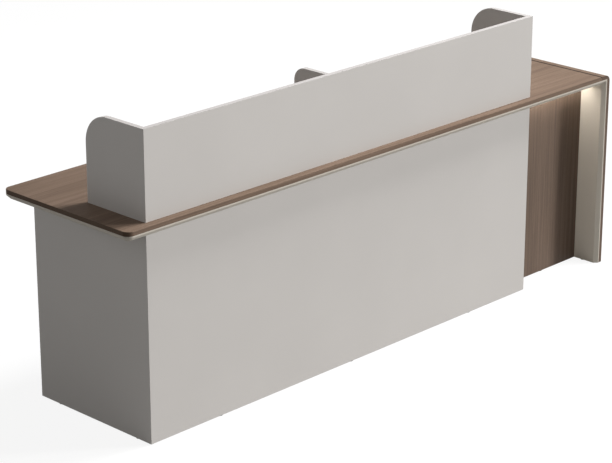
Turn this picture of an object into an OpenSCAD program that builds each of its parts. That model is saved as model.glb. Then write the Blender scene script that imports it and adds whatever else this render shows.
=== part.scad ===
// Reception desk with a raised front screen, a lit recess and a waterfall end.
// +X runs along the desk, the visitor stands at -Y, the staff sit at +Y, and Z is 0 at the floor.

/* [Overall] */
// Length of the desk over the worktop and the waterfall end
desk_l = 2400; // [2300:10:2800]
// Depth of the worktop, front to back
desk_d = 600; // [580:10:760]
// Height of the worktop's upper face above the floor
worktop_h = 750; // [730:5:780]
// Height of the screen above the worktop
screen_h = 300; // [280:5:400]
// Gap between the boards and the floor, taken up by the feet
floor_gap = 3; // [2:0.5:6]

/* [Boards] */
// Thickness of the pale boards
board_t = 18; // [16:1:22]
// Thickness of the walnut worktop and waterfall board
walnut_t = 15; // [12:1:18]
// Thickness of the pale layer below the walnut
under_t = 18; // [16:1:22]
// Upright lip on the edge of the pale layer
lip_h = 5; // [4:0.5:8]
// Radius of the worktop's left corners and of the waterfall's top edge
corner_r = 25; // [22:1:32]
// Flat taken off the sharp outer edges
arris = 1; // [0.5:0.1:1.5]
// Width of the strip between the waterfall's top edge and the joint in the walnut
corner_strip = 50; // [40:1:80]
// Width of the slope on either side of the V-shaped joint line across the walnut
joint_line = 3; // [1:0.2:4]

/* [Front body] */
// How far the worktop reaches past the left end panel
left_overhang = 100; // [60:5:140]
// How far the worktop reaches past the front panel
front_overhang = 30; // [20:1:50]
// How far the worktop reaches past the drawer fronts and the left end panel at the back
rear_overhang = 30; // [30:1:50]
// Width of the recess between the front panel's end and the waterfall end
recess_w = 402; // [360:2:480]
// Depth of the recess beside the waterfall end
recess_d = 75; // [60:1:100]

/* [Screen] */
// Depth of the screen's end boards and divider from the front face
return_d = 270; // [240:5:300]
// Radius of the end boards' upper rear corner
return_r = 100; // [60:5:110]
// How much lower the divider is than the screen
divider_drop = 45; // [0:5:80]
// Radius of the divider's upper rear corner
divider_r = 48; // [30:1:80]

/* [Pedestal and cabinet] */
// Width of the drawer pedestal
pedestal_w = 400; // [380:5:440]
// Height of the kick boards
plinth_h = 60; // [50:5:80]
// How far the kick boards stand back
plinth_back = 40; // [30:5:60]
// Gap round the drawer fronts and the door
front_gap = 3; // [2:0.5:4]
// Gap between the carcass and the back of the fronts
seat_gap = 2; // [1.8:0.1:3]
// Height of the top drawer's front
top_front_h = 140; // [130:5:150]
// Height of the middle drawer's front
mid_front_h = 160; // [140:5:200]
// Height of the shelf above the cabinet's bottom board
shelf_up = 300; // [250:10:360]

/* [Drawers] */
// Space between the closed drawers' trays and the front panel
tray_space = 52; // [20:2:100]
// Height of a runner
runner_h = 45; // [42:1:48]
// Space that a runner takes between the tray and the side board
runner_w = 12.7; // [12:0.1:14]
// Thickness of the runners' and trays' sheet steel
sheet_t = 1.2; // [1:0.1:1.4]
// Play between the nested members of a runner
runner_play = 0.6; // [0.4:0.1:0.8]
// How much lower a tray's rim is than its front is tall
tray_short = 70; // [66:1:76]
// Height of a tray's underside above the lower edge of its front
tray_up = 24; // [22:1:30]
// Width of the rim folded inwards round a tray
tray_rim = 7; // [5:1:10]

/* [Handles and lock] */
// Distance between the handle's two posts
handle_span = 128; // [96:32:160]
// Diameter of the handle's rod
handle_dia = 10; // [8:1:12]
// Distance from the front to the middle of the handle's rod
handle_out = 22; // [18:1:24]
// Bend radius of the handle's rod
handle_bend = 12; // [10:1:16]
// Distance of the handle below the front's upper edge
handle_down = 60; // [50:5:80]
// Diameter of the lock's housing
lock_dia = 18; // [16:1:19]
// Diameter of the lock's turning plug
plug_dia = 12; // [10:1:13]
// Distance from the middle of the drawer to the lock
lock_side = 130; // [110:5:140]
// Distance of the lock below the front's upper edge
lock_down = 30; // [28:1:32]

/* [Cable holes and trays] */
// Diameter of the hole in the worktop for a grommet
grommet_hole = 60; // [50:1:70]
// Distance from the screen's rear face to the middle of the grommet
grommet_back = 60; // [50:1:80]
// Width of a cable tray
cable_tray_w = 80; // [60:5:100]
// Height of a cable tray's back wall
cable_tray_h = 77; // [60:1:90]
// Height of a cable tray's outer lip
cable_lip_h = 40; // [25:1:50]

/* [Light] */
// Width of the light's channel
led_w = 17; // [15:1:20]
// Height of the light's channel
led_h = 8; // [7:0.5:9]
// Distance from the recess panel to the middle of the channel
led_out = 20; // [15:1:30]

/* [Hidden] */
$fn = 48;

// Colours
pale = "#c3bfba";
pale_top = "#d8d5d0";
walnut = "#84746a";
steel = "#8f9194";
dark = "#2f3032";
white = "#f2ead8";

// Overrun of every cut past the face that it opens
over = 1;
// Clearance of a turning or seated round fit, on the radius
fit = 0.05;
// Clearance between curved faces of pieces that move apart
clear = 0.3;

// Faces of the whole desk
x_l = -desk_l / 2;
x_r = desk_l / 2;
y_f = -desk_d / 2;
y_b = desk_d / 2;
z_under_top = worktop_h - walnut_t;
z_under = z_under_top - under_t;
bevel = under_t - lip_h;
leg_x = x_r - walnut_t - under_t;
joint_x = x_r - corner_strip;

// Faces of the front body
body_x0 = x_l + left_overhang;
body_x1 = leg_x - recess_w;
body_l = body_x1 - body_x0;
body_y0 = y_f + front_overhang;
body_y1 = y_b - rear_overhang;
inner_y0 = body_y0 + board_t;
recess_y = body_y0 + recess_d;
screen_mid_x = body_x0 + body_l / 2;
screen_top = worktop_h + screen_h;

// Carcass behind the fronts
front_y = body_y1 - board_t;
carcass_y = front_y - seat_gap;
ped_x0 = screen_mid_x - pedestal_w / 2;
ped_x1 = screen_mid_x + pedestal_w / 2;
cab_x0 = body_x1 - board_t;
cab_x1 = leg_x;
cab_y0 = recess_y + board_t;
plinth_y = carcass_y - plinth_back;
floor_board_z = plinth_h + board_t;
front_side_gap = front_gap / 2;

// Drawer fronts from the top down
fronts_top = z_under - front_gap;
low_front_h = fronts_top - plinth_h - top_front_h - mid_front_h - 2 * front_gap;
front_hs = [top_front_h, mid_front_h, low_front_h];
front_zs = [
    fronts_top - top_front_h,
    fronts_top - top_front_h - front_gap - mid_front_h,
    plinth_h
];
tray_w = pedestal_w - 2 * board_t - 2 * runner_w;
tray_y0 = inner_y0 + tray_space;
runner_l = carcass_y - tray_y0;
runner_mid_up = tray_up + runner_h / 2 + tray_rim;

// Cabinet door
door_x0 = cab_x0 + front_side_gap;
door_x1 = cab_x1 - front_side_gap;
hinge_leaf_t = seat_gap / 2 - clear / 3;
hinge_knuckle_r = 3;
hinge_pin_r = 1.5;
hinge_leaf_h = 50;
hinge_leaf_w = 16;
hinge_x = cab_x0 - hinge_knuckle_r;
hinge_y = carcass_y + seat_gap / 2;
hinge_in = 90;
hinge_zs = [plinth_h + hinge_in, fronts_top - hinge_in];

// Knee spaces to the left and right of the pedestal, and the middle of each seat
knee_bays = [[body_x0 + board_t, ped_x0], [ped_x1, cab_x0]];
seat_xs = [for (bay = knee_bays) (bay[0] + bay[1]) / 2];

// Grommets, one behind the screen at each seat
grommet_y = inner_y0 + grommet_back;
grommet_r = grommet_hole / 2;
sleeve_wall = 2.7;
sleeve_flange_w = 4;
sleeve_flange_t = 2;
cap_t = 2.4;
cap_ledge = 1.8;
cap_notch_w = 16;
cap_notch_d = 15;

// Cable trays
cable_tray_t = 1.5;
cable_tray_end = 60;
cable_flange_w = 16;
cable_hem = 7;
cable_slot_l = 70;
cable_slot_w = 22;
cable_y0 = grommet_y - cable_tray_w / 2;
cable_bays = [for (bay = knee_bays) [bay[0] + cable_tray_end, bay[1] - cable_tray_end]];

// Light
led_wall = 1.2;
led_strip_w = 10;
led_strip_t = 1.6;
led_end_gap = 2;
led_y = recess_y - led_out;
led_x0 = body_x1 + led_end_gap;
led_x1 = leg_x - led_end_gap;
driver_l = 130;
driver_w = 42;
driver_h = 22;
driver_r = 5;
driver_ear = 12;
driver_ear_t = 3;
driver_hole_r = 2.2;
driver_back = 60;
driver_y0 = cab_y0 + driver_back;
driver_x = (body_x1 + leg_x) / 2;
lead_dia = 4;
lead_z = z_under - led_h / 2;
socket_w = 14;
socket_h = 9;
socket_deep = 8;

// Levelling feet
foot_pad_r = 8;
foot_pad_bevel = 0.8;
foot_stem_r = 3;
foot_stem_l = 22;
foot_end = 70;

// Angle brackets and their screws
bracket_leg = 30;
bracket_w = 30;
bracket_t = 2;
bracket_bend_r = 3;
bracket_hole_in = 18;
screw_r = 2;
screw_head_r = 4;
screw_head_h = 2.2;
screw_l = 14;
screw_drive_r = 1.6;

// Cam locks and their bolts
cam_r = 7.5;
cam_deep = 12.5;
cam_in = 34;
bolt_r = 3;
bolt_head_r = 3.6;
bolt_head_l = 3;
bolt_neck_r = 2.2;
bolt_neck_l = 4;
bolt_bite = 11;
cam_slot_r = 4;
cross_w = 1.6;
cross_l = 8;
cross_deep = 3;

// Shelf pins and the rows of holes for them
pin_r = 2.5;
pin_bore = 10;
pin_head_r = 4;
pin_head_l = 7;
pin_pitch = 32;
pin_rows = 3;
pin_edge = 50;

// A box between two corners
module slab(low, high) translate(low) cube(high - low);

// A flat rectangle with round corners, centred on the origin
module round_rect(w, d, r) {
    square([w - 2 * r, d], center = true);
    square([w, d - 2 * r], center = true);
    for (sx = [-1, 1], sy = [-1, 1])
        translate([sx * (w / 2 - r), sy * (d / 2 - r)]) circle(r);
}

// A flat slot with round ends along X
module slot_shape(l, w) {
    square([l - w, w], center = true);
    for (s = [-1, 1]) translate([s * (l - w) / 2, 0]) circle(w / 2);
}

// Joints and edges of the boards

// Plan of a front board whose ends are both cut at 45 degrees, to meet the return boards
module front_board_plan(x0, x1, y0, t) {
    polygon([
        [x0 + arris, y0],
        [x1 - arris, y0],
        [x1 - arris / 2, y0 + arris / 2],
        [x1 - t, y0 + t],
        [x0 + t, y0 + t],
        [x0 + arris / 2, y0 + arris / 2]
    ]);
}

// Plan of a return board whose outer face is at x, its thickness running by side (1 or -1)
module return_board_plan(x, side, y0, y1, t) {
    polygon([
        [x, y0 + arris],
        [x + side * arris / 2, y0 + arris / 2],
        [x + side * t, y0 + t],
        [x + side * t, y1],
        [x, y1]
    ]);
}

// Side view of a screen board, drawn as Y and Z, with its upper rear corner rounded
module screen_side(y0, y1, z0, z1, r) {
    difference() {
        translate([y0, z0]) square([y1 - y0, z1 - z0]);
        difference() {
            translate([y1 - r, z1 - r]) square([r + over, r + over]);
            translate([y1 - r, z1 - r]) circle(r, $fn = 96);
        }
    }
}

// Sets a Y and Z drawing upright and gives it a thickness along X
module along_x(x0, x1) translate([x0, 0, 0]) rotate([90, 0, 90]) linear_extrude(x1 - x0) children();

// Sets an X and Z drawing upright and gives it a thickness along Y
module along_y(y0, y1) translate([0, y1, 0]) rotate([90, 0, 0]) linear_extrude(y1 - y0) children();

// A layer of the worktop from the left end to x1, with round left corners,
// whose lower edge is drawn in by a 45 degree bevel of size b
module worktop_layer(x1, t, b) {
    inner_x = x_l + corner_r;
    along_x(inner_x, x1) polygon([
        [y_f + b, 0], [y_f, b], [y_f, t], [y_b, t], [y_b, b], [y_b - b, 0]
    ]);
    along_y(y_f + corner_r, y_b - corner_r) polygon([
        [x_l + b, 0], [x_l, b], [x_l, t], [inner_x, t], [inner_x, 0]
    ]);
    for (y = [y_f + corner_r, y_b - corner_r]) translate([inner_x, y, 0]) rotate_extrude($fn = 96)
        polygon([[0, 0], [corner_r - b, 0], [corner_r, b], [corner_r, t], [0, t]]);
}

// The V-shaped line where the worktop meets the waterfall piece
module joint_groove() {
    translate([joint_x, 0, worktop_h]) rotate([0, 45, 0])
        cube([joint_line, desk_d + 2 * over, joint_line], center = true);
}

// Holes for the grommets through both layers of the worktop
module grommet_holes() {
    for (x = seat_xs) translate([x, grommet_y, z_under - over])
        cylinder(r = grommet_r, h = walnut_t + under_t + 2 * over);
}

// Levelling feet

foot_y0 = body_y0 + foot_end;
foot_y1 = carcass_y - foot_end;
left_end_feet = [for (y = [foot_y0, foot_y1]) [body_x0 + board_t / 2, y]];
front_feet = [for (s = [-1, 0, 1]) [screen_mid_x + s * body_l / 3, body_y0 + board_t / 2]];
recess_feet = [[(body_x1 + leg_x) / 2, recess_y + board_t / 2]];
lining_feet = [for (s = [-1, 1]) [leg_x + under_t / 2, s * (y_b - foot_end)]];
ped_left_feet = [for (y = [foot_y0, foot_y1]) [ped_x0 + board_t / 2, y]];
ped_right_feet = [for (y = [foot_y0, foot_y1]) [ped_x1 - board_t / 2, y]];
cab_left_feet = [for (y = [cab_y0 + foot_end, foot_y1]) [cab_x0 + board_t / 2, y]];
cab_right_feet = [for (y = [cab_y0 + foot_end, foot_y1]) [cab_x1 - board_t / 2, y]];
all_feet = concat(left_end_feet, front_feet, recess_feet, lining_feet,
    ped_left_feet, ped_right_feet, cab_left_feet, cab_right_feet);

module foot_holes(places) {
    for (p = places) translate([p[0], p[1], floor_gap - over])
        cylinder(r = foot_stem_r + fit, h = foot_stem_l + 2 * over);
}

module foot() {
    rotate_extrude() polygon([
        [0, 0],
        [foot_pad_r - foot_pad_bevel, 0],
        [foot_pad_r, foot_pad_bevel],
        [foot_pad_r, floor_gap],
        [foot_stem_r, floor_gap],
        [foot_stem_r, floor_gap + foot_stem_l],
        [0, floor_gap + foot_stem_l]
    ]);
}

module levelling_feet() color(dark) for (p = all_feet) translate([p[0], p[1], 0]) foot();

// Angle brackets
// A place is [position of the inner corner, turn about Z, 1 for a bracket that hangs from a board
// above and -1 for one that stands on a board below]. The upright leg lies against the face at
// local X 0 and the level leg runs along local +X.

bracket_step_share = 0.25;
left_end_brackets = [for (s = [-1, 1])
    [[body_x0 + board_t, s * bracket_step_share * desk_d, z_under], 0, 1]];
front_brackets = [for (bay = knee_bays, x = [bay[0] + bracket_leg, bay[1] - bracket_leg])
    [[x, inner_y0, z_under], 90, 1]];
ped_left_brackets = [[[ped_x0, bracket_step_share * desk_d, z_under], 180, 1]];
ped_right_brackets = [[[ped_x1, bracket_step_share * desk_d, z_under], 0, 1]];
cab_left_brackets = [[[cab_x0, bracket_step_share * desk_d, z_under], 180, 1]];
cab_right_brackets = [for (s = [0, 1])
    [[cab_x1 - board_t, s * bracket_step_share * desk_d, z_under], 180, 1]];
screen_front_brackets = [for (s = [-1.5, -0.5, 0.5, 1.5])
    [[screen_mid_x + s * bracket_step_share * body_l, inner_y0, worktop_h], 90, -1]];
return_bracket_y = body_y0 + return_d / 2 + bracket_leg;
screen_left_brackets = [[[body_x0 + board_t, return_bracket_y, worktop_h], 0, -1]];
screen_right_brackets = [[[body_x1 - board_t, return_bracket_y, worktop_h], 180, -1]];
divider_brackets = [[[screen_mid_x + board_t / 2, return_bracket_y, worktop_h], 0, -1]];
under_brackets = concat(left_end_brackets, front_brackets, ped_left_brackets, ped_right_brackets,
    cab_left_brackets, cab_right_brackets);
over_brackets = concat(screen_front_brackets, screen_left_brackets, screen_right_brackets,
    divider_brackets);
all_brackets = concat(under_brackets, over_brackets);

module at_bracket(b) {
    translate(b[0]) rotate([0, 0, b[1]]) mirror([0, 0, b[2] > 0 ? 1 : 0]) children();
}

// The two screws of a bracket: one down into the level board, one into the upright board
module at_bracket_screws() {
    translate([bracket_hole_in, 0, bracket_t]) children();
    translate([bracket_t, 0, bracket_hole_in]) rotate([0, 90, 0]) children();
}

module bracket() {
    difference() {
        rotate([90, 0, 0]) linear_extrude(bracket_w, center = true) difference() {
            union() {
                square([bracket_leg, bracket_t]);
                square([bracket_t, bracket_leg]);
                square([bracket_bend_r, bracket_bend_r]);
            }
            translate([bracket_bend_r + bracket_t, bracket_bend_r + bracket_t])
                circle(bracket_bend_r + clear);
        }
        at_bracket_screws() translate([0, 0, -bracket_t - over])
            cylinder(r = screw_r + fit, h = bracket_t + 2 * over);
    }
}

module screw() {
    difference() {
        union() {
            translate([0, 0, -screw_l]) cylinder(r = screw_r, h = screw_l);
            rotate_extrude() polygon([
                [0, 0],
                [screw_head_r, 0],
                [screw_head_r, screw_head_h / 2],
                [screw_head_r / 2, screw_head_h],
                [0, screw_head_h]
            ]);
        }
        translate([0, 0, screw_head_h / 2]) cylinder(r = screw_drive_r, h = screw_head_h, $fn = 6);
    }
}

module pilot_hole() {
    translate([0, 0, -screw_l - over]) cylinder(r = screw_r + fit, h = screw_l + 2 * over);
}

module bracket_pilots(brackets) for (b = brackets) at_bracket(b) at_bracket_screws() pilot_hole();

module angle_brackets() color(steel) for (b = all_brackets) at_bracket(b) bracket();

// Screws that hold the cable trays up, two in each flange
tray_screws = [for (bay = cable_bays, s = [-1, 1])
    [(bay[0] + bay[1]) / 2 + s * (bay[1] - bay[0] - 4 * cable_flange_w) / 2,
     cable_y0 - cable_flange_w / 2]];

module at_tray_screws() {
    for (p = tray_screws) translate([p[0], p[1], z_under - cable_tray_t]) rotate([180, 0, 0]) children();
}

module bracket_screws() color(steel) {
    for (b = all_brackets) at_bracket(b) at_bracket_screws() screw();
    at_tray_screws() screw();
}

// Cam joints
// A place is [middle of the joint on the face that takes the bolt, direction of the board that
// holds the cam (degrees about Z), turn of the cam's open side about that direction].

cam_side_in = 60;
ped_cam_ys = [body_y0 + 3 * cam_side_in, carcass_y - cam_side_in];
cab_cam_ys = [cab_y0 + cam_side_in, carcass_y - cam_side_in];
side_cam_zs = [floor_board_z + 2 * cam_side_in, z_under - 2 * cam_side_in];
ped_left_side_cams = [for (y = ped_cam_ys, z = [plinth_h + board_t / 2, z_under - board_t / 2])
    [[ped_x0 + board_t, y, z], 0, 180]];
ped_right_side_cams = [for (y = ped_cam_ys, z = [plinth_h + board_t / 2, z_under - board_t / 2])
    [[ped_x1 - board_t, y, z], 180, 180]];
cab_left_side_cams = [for (y = cab_cam_ys) [[cab_x0 + board_t, y, plinth_h + board_t / 2], 0, 180]];
cab_right_side_cams = [for (y = cab_cam_ys) [[cab_x1 - board_t, y, plinth_h + board_t / 2], 180, 180]];
front_panel_left_cams = [for (z = side_cam_zs) [[ped_x0 + board_t / 2, inner_y0, z], 90, 90]];
front_panel_right_cams = [for (z = side_cam_zs) [[ped_x1 - board_t / 2, inner_y0, z], 90, -90]];
recess_left_cams = [for (z = side_cam_zs) [[cab_x0 + board_t / 2, cab_y0, z], 90, 90]];
recess_right_cams = [for (z = side_cam_zs) [[cab_x1 - board_t / 2, cab_y0, z], 90, -90]];
all_cams = concat(ped_left_side_cams, ped_right_side_cams, cab_left_side_cams, cab_right_side_cams,
    front_panel_left_cams, front_panel_right_cams, recess_left_cams, recess_right_cams);

// Local X runs into the board with the cam, and local Z points out of the cam's open side
module at_cam(c) translate(c[0]) rotate([0, 0, c[1]]) rotate([c[2], 0, 0]) children();

module along_bolt(r, x0, x1) translate([x0, 0, 0]) rotate([0, 90, 0]) cylinder(r = r, h = x1 - x0);

// What the board with the bolt loses, and what the board with the cam loses
module bolt_holes(cams) for (c = cams) at_cam(c) along_bolt(bolt_r + fit, -bolt_bite, over);

module cam_holes(cams) for (c = cams) at_cam(c) {
    along_bolt(bolt_head_r + 2 * fit, -over, cam_in);
    translate([cam_in, 0, board_t / 2 - cam_deep]) cylinder(r = cam_r + fit, h = cam_deep + over);
}

module cam_bolt() {
    along_bolt(bolt_r, -bolt_bite, cam_in - cam_r - over);
    along_bolt(bolt_neck_r, cam_in - cam_r - 2 * over, cam_in - cam_r + bolt_neck_l);
    head_mid = cam_in - cam_r + bolt_neck_l;
    along_bolt(bolt_head_r - fit, head_mid - bolt_head_l / 2, head_mid + bolt_head_l / 2);
}

module cam() {
    difference() {
        translate([cam_in, 0, board_t / 2 - cam_deep]) cylinder(r = cam_r, h = cam_deep);
        along_bolt(cam_slot_r, cam_in - cam_r - over, cam_in + bolt_head_l);
        translate([cam_in, 0, board_t / 2]) for (a = [45, 135]) rotate([0, 0, a])
            cube([cross_l, cross_w, 2 * cross_deep], center = true);
    }
}

module cam_locks() color(steel) for (c = all_cams) at_cam(c) cam();

module cam_bolts() color(steel) for (c = all_cams) at_cam(c) cam_bolt();

// Lower body

module front_panel() color(pale) difference() {
    translate([0, 0, floor_gap]) linear_extrude(z_under - floor_gap)
        front_board_plan(body_x0, body_x1, body_y0, board_t);
    foot_holes(front_feet);
    bracket_pilots(front_brackets);
    bolt_holes(front_panel_left_cams);
    bolt_holes(front_panel_right_cams);
}

module left_end_panel() color(pale) difference() {
    translate([0, 0, floor_gap]) linear_extrude(z_under - floor_gap)
        return_board_plan(body_x0, 1, body_y0, body_y1, board_t);
    foot_holes(left_end_feet);
    bracket_pilots(left_end_brackets);
}

module recess_return() color(pale)
    translate([0, 0, floor_gap]) linear_extrude(z_under - floor_gap)
        return_board_plan(body_x1, -1, body_y0, recess_y, board_t);

module recess_panel() color(walnut) difference() {
    slab([cab_x0, recess_y, floor_gap], [leg_x, cab_y0, z_under]);
    foot_holes(recess_feet);
    bolt_holes(recess_left_cams);
    bolt_holes(recess_right_cams);
    translate([driver_x, recess_y - over, lead_z]) rotate([-90, 0, 0])
        cylinder(r = lead_dia / 2 + clear, h = board_t + 2 * over);
}

// Worktop and waterfall end

module worktop_board() color(walnut) difference() {
    translate([0, 0, worktop_h]) mirror([0, 0, 1]) worktop_layer(joint_x, walnut_t, arris);
    joint_groove();
    grommet_holes();
    bracket_pilots(over_brackets);
}

module worktop_underlayer() color(pale_top) difference() {
    translate([0, 0, z_under]) worktop_layer(x_r - walnut_t, under_t, bevel);
    along_y(y_f - over, y_b + over) polygon([
        [leg_x, z_under],
        [x_r - walnut_t, z_under_top],
        [x_r, z_under_top],
        [x_r, z_under - over],
        [leg_x, z_under - over]
    ]);
    grommet_holes();
    bracket_pilots(under_brackets);
    at_tray_screws() pilot_hole();
}

module waterfall_panel() color(walnut) difference() {
    along_y(y_f, y_b) difference() {
        union() {
            translate([joint_x, z_under_top]) square([corner_strip, walnut_t]);
            translate([x_r - walnut_t, floor_gap]) square([walnut_t, worktop_h - floor_gap]);
        }
        difference() {
            translate([x_r - corner_r, worktop_h - corner_r]) square([corner_r + over, corner_r + over]);
            translate([x_r - corner_r, worktop_h - corner_r]) circle(corner_r, $fn = 96);
        }
    }
    joint_groove();
}

module waterfall_lining() color(pale_top) difference() {
    intersection() {
        translate([0, 0, floor_gap]) linear_extrude(z_under_top - floor_gap) polygon([
            [x_r - walnut_t, y_f],
            [leg_x + bevel, y_f],
            [leg_x, y_f + bevel],
            [leg_x, y_b - bevel],
            [leg_x + bevel, y_b],
            [x_r - walnut_t, y_b]
        ]);
        along_y(y_f - over, y_b + over) polygon([
            [leg_x, floor_gap],
            [x_r - walnut_t, floor_gap],
            [x_r - walnut_t, z_under_top],
            [leg_x, z_under]
        ]);
    }
    foot_holes(lining_feet);
}

// Screen

module screen_front() color(pale) difference() {
    translate([0, 0, worktop_h]) linear_extrude(screen_h)
        front_board_plan(body_x0, body_x1, body_y0, board_t);
    bracket_pilots(screen_front_brackets);
}

module screen_return(x, side) {
    intersection() {
        translate([0, 0, worktop_h]) linear_extrude(screen_h)
            return_board_plan(x, side, body_y0, body_y0 + return_d, board_t);
        along_x(x - board_t, x + board_t)
            screen_side(body_y0, body_y0 + return_d, worktop_h, screen_top, return_r);
    }
}

module screen_left_return() color(pale) difference() {
    screen_return(body_x0, 1);
    bracket_pilots(screen_left_brackets);
}

module screen_right_return() color(pale) difference() {
    screen_return(body_x1, -1);
    bracket_pilots(screen_right_brackets);
}

module screen_divider() color(pale) difference() {
    along_x(screen_mid_x - board_t / 2, screen_mid_x + board_t / 2)
        screen_side(inner_y0, body_y0 + return_d, worktop_h, screen_top - divider_drop, divider_r);
    bracket_pilots(divider_brackets);
}

// Light in the recess

module led_channel() color(steel) difference() {
    slab([led_x0, led_y - led_w / 2, z_under - led_h], [led_x1, led_y + led_w / 2, z_under]);
    slab(
        [led_x0 - over, led_y - led_w / 2 + led_wall, z_under - led_h - over],
        [led_x1 + over, led_y + led_w / 2 - led_wall, z_under - led_wall]
    );
    translate([driver_x, led_y, lead_z]) rotate([-90, 0, 0])
        cylinder(r = lead_dia / 2 + fit, h = led_w);
}

module led_strip() color(white) slab(
    [led_x0 + led_end_gap, led_y - led_strip_w / 2, z_under - led_wall - led_strip_t],
    [led_x1 - led_end_gap, led_y + led_strip_w / 2, z_under - led_wall]
);

// The diffuser's lower face bulges a little below the channel's walls
module led_diffuser() color(white) {
    flat_w = led_w - 2 * led_wall;
    along_x(led_x0, led_x1) translate([led_y, z_under - led_h]) intersection() {
        translate([-flat_w / 2, -led_wall]) square([flat_w, 2 * led_wall]);
        translate([0, flat_w - led_wall]) circle(flat_w, $fn = 96);
    }
}

// A closed housing with a fixing ear at each end and a bare inlet in its far face
module led_driver() color(white) translate([driver_x, driver_y0 + driver_w / 2, z_under]) difference() {
    union() {
        translate([0, 0, -driver_h]) linear_extrude(driver_h) round_rect(driver_l, driver_w, driver_r);
        translate([0, 0, -driver_ear_t]) linear_extrude(driver_ear_t)
            round_rect(driver_l + 2 * driver_ear, driver_w / 2, driver_r);
    }
    for (s = [-1, 1]) translate([s * (driver_l + driver_ear) / 2, 0, -driver_ear_t - over])
        cylinder(r = driver_hole_r, h = driver_ear_t + 2 * over);
    translate([-socket_w / 2, driver_w / 2 - socket_deep, -driver_h / 2 - socket_h / 2])
        cube([socket_w, socket_deep + over, socket_h]);
    translate([0, -driver_w / 2 - over, lead_z - z_under]) rotate([-90, 0, 0])
        cylinder(r = lead_dia / 2 + fit, h = socket_deep + over);
}

// The lead runs straight from the driver through the recess panel into the channel
module led_lead() color(dark) {
    y0 = led_y + led_strip_w / 2;
    translate([driver_x, y0, lead_z]) rotate([-90, 0, 0])
        cylinder(r = lead_dia / 2, h = driver_y0 + socket_deep - y0);
}

// Drawer pedestal

module pedestal_side(x) slab([x, inner_y0, floor_gap], [x + board_t, carcass_y, z_under]);

module pedestal_left_side() color(pale) difference() {
    pedestal_side(ped_x0);
    foot_holes(ped_left_feet);
    bracket_pilots(ped_left_brackets);
    bolt_holes(ped_left_side_cams);
    cam_holes(front_panel_left_cams);
}

module pedestal_right_side() color(pale) difference() {
    pedestal_side(ped_x1 - board_t);
    foot_holes(ped_right_feet);
    bracket_pilots(ped_right_brackets);
    bolt_holes(ped_right_side_cams);
    cam_holes(front_panel_right_cams);
}

// The lock's tongue turns up into a round pocket in the top board, clear of the tip's whole sweep
lock_x = screen_mid_x + lock_side;
lock_z = fronts_top - lock_down;
tongue_l = 22;
tongue_w = 9;
tongue_t = 3;
housing_back = 8;
bezel_w = 2;
bezel_t = 2;
plug_proud = 0.6;
stub_r = 3.5;
tongue_hub_w = 3;
keyway_w = 1.6;
keyway_h = 7;
keyway_deep = 12;
keep_clear = 2.5;
tongue_y1 = front_y - housing_back - clear;
tongue_y0 = tongue_y1 - tongue_t;
plug_y1 = body_y1 + bezel_t + plug_proud;

module pedestal_top() color(pale) difference() {
    slab([ped_x0 + board_t, inner_y0, z_under - board_t], [ped_x1 - board_t, carcass_y, z_under]);
    cam_holes([for (c = concat(ped_left_side_cams, ped_right_side_cams)) if (c[0][2] > z_under / 2) c]);
    on_lock_axis(tongue_y0 - keep_clear)
        cylinder(r = norm([tongue_l, tongue_w / 2]) + keep_clear, h = tongue_t + 2 * keep_clear);
}

module pedestal_bottom() color(pale) difference() {
    slab([ped_x0 + board_t, inner_y0, plinth_h], [ped_x1 - board_t, carcass_y, floor_board_z]);
    cam_holes([for (c = concat(ped_left_side_cams, ped_right_side_cams)) if (c[0][2] < z_under / 2) c]);
}

module pedestal_kick_board() color(dark) slab(
    [ped_x0 + board_t, plinth_y - board_t, floor_gap],
    [ped_x1 - board_t, plinth_y, plinth_h]
);

// Drawers

module drawer_front(n) {
    z0 = front_zs[n];
    z1 = z0 + front_hs[n];
    slab([ped_x0 + front_side_gap, front_y, z0], [ped_x1 - front_side_gap, body_y1, z1]);
}

// A pressed steel tray, open above, with its rim folded inwards
module drawer_tray(n) {
    h = front_hs[n] - tray_short;
    len = front_y - tray_y0;
    in_w = tray_w - 2 * sheet_t;
    in_l = len - 2 * sheet_t;
    translate([screen_mid_x, tray_y0 + len / 2, front_zs[n] + tray_up]) difference() {
        translate([0, 0, h / 2]) cube([tray_w, len, h], center = true);
        translate([-in_w / 2, -in_l / 2, sheet_t]) cube([in_w, in_l, h - 2 * sheet_t]);
        translate([0, 0, h]) linear_extrude(4 * sheet_t, center = true)
            round_rect(in_w - 2 * tray_rim, in_l - 2 * tray_rim, tray_rim);
    }
}

// A bow handle along X: a rod with two bends, each end on a small rose
rose_w = 2;
rose_t = 2.5;

module bow_handle() {
    r = handle_dia / 2;
    half = handle_span / 2;
    for (s = [-1, 1]) {
        translate([s * half, 0, 0]) rotate([-90, 0, 0]) {
            cylinder(r = r, h = handle_out - handle_bend);
            cylinder(r = r + rose_w, h = rose_t);
        }
        translate([s * (half - handle_bend), handle_out - handle_bend, 0])
            rotate([0, 0, s > 0 ? 0 : 90]) rotate_extrude(angle = 90)
                translate([handle_bend, 0]) circle(r);
    }
    translate([handle_bend - half, handle_out, 0]) rotate([0, 90, 0])
        cylinder(r = r, h = handle_span - 2 * handle_bend);
}

module drawer_handle(n) {
    translate([screen_mid_x, body_y1, front_zs[n] + front_hs[n] - handle_down]) bow_handle();
}

// Runner members
// Drawn as X from the side board towards the tray and Z about the runner's middle: rolled C sections
// that nest with the same play all round.

module c_section(x0, x1, half_h, web_first) {
    difference() {
        translate([x0, -half_h]) square([x1 - x0, 2 * half_h]);
        translate([web_first ? x0 + sheet_t : x0 - over, sheet_t - half_h])
            square([x1 - x0 - sheet_t + over, 2 * (half_h - sheet_t)]);
    }
}

runner_half = runner_h / 2;
runner_step = sheet_t + runner_play;

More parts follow.
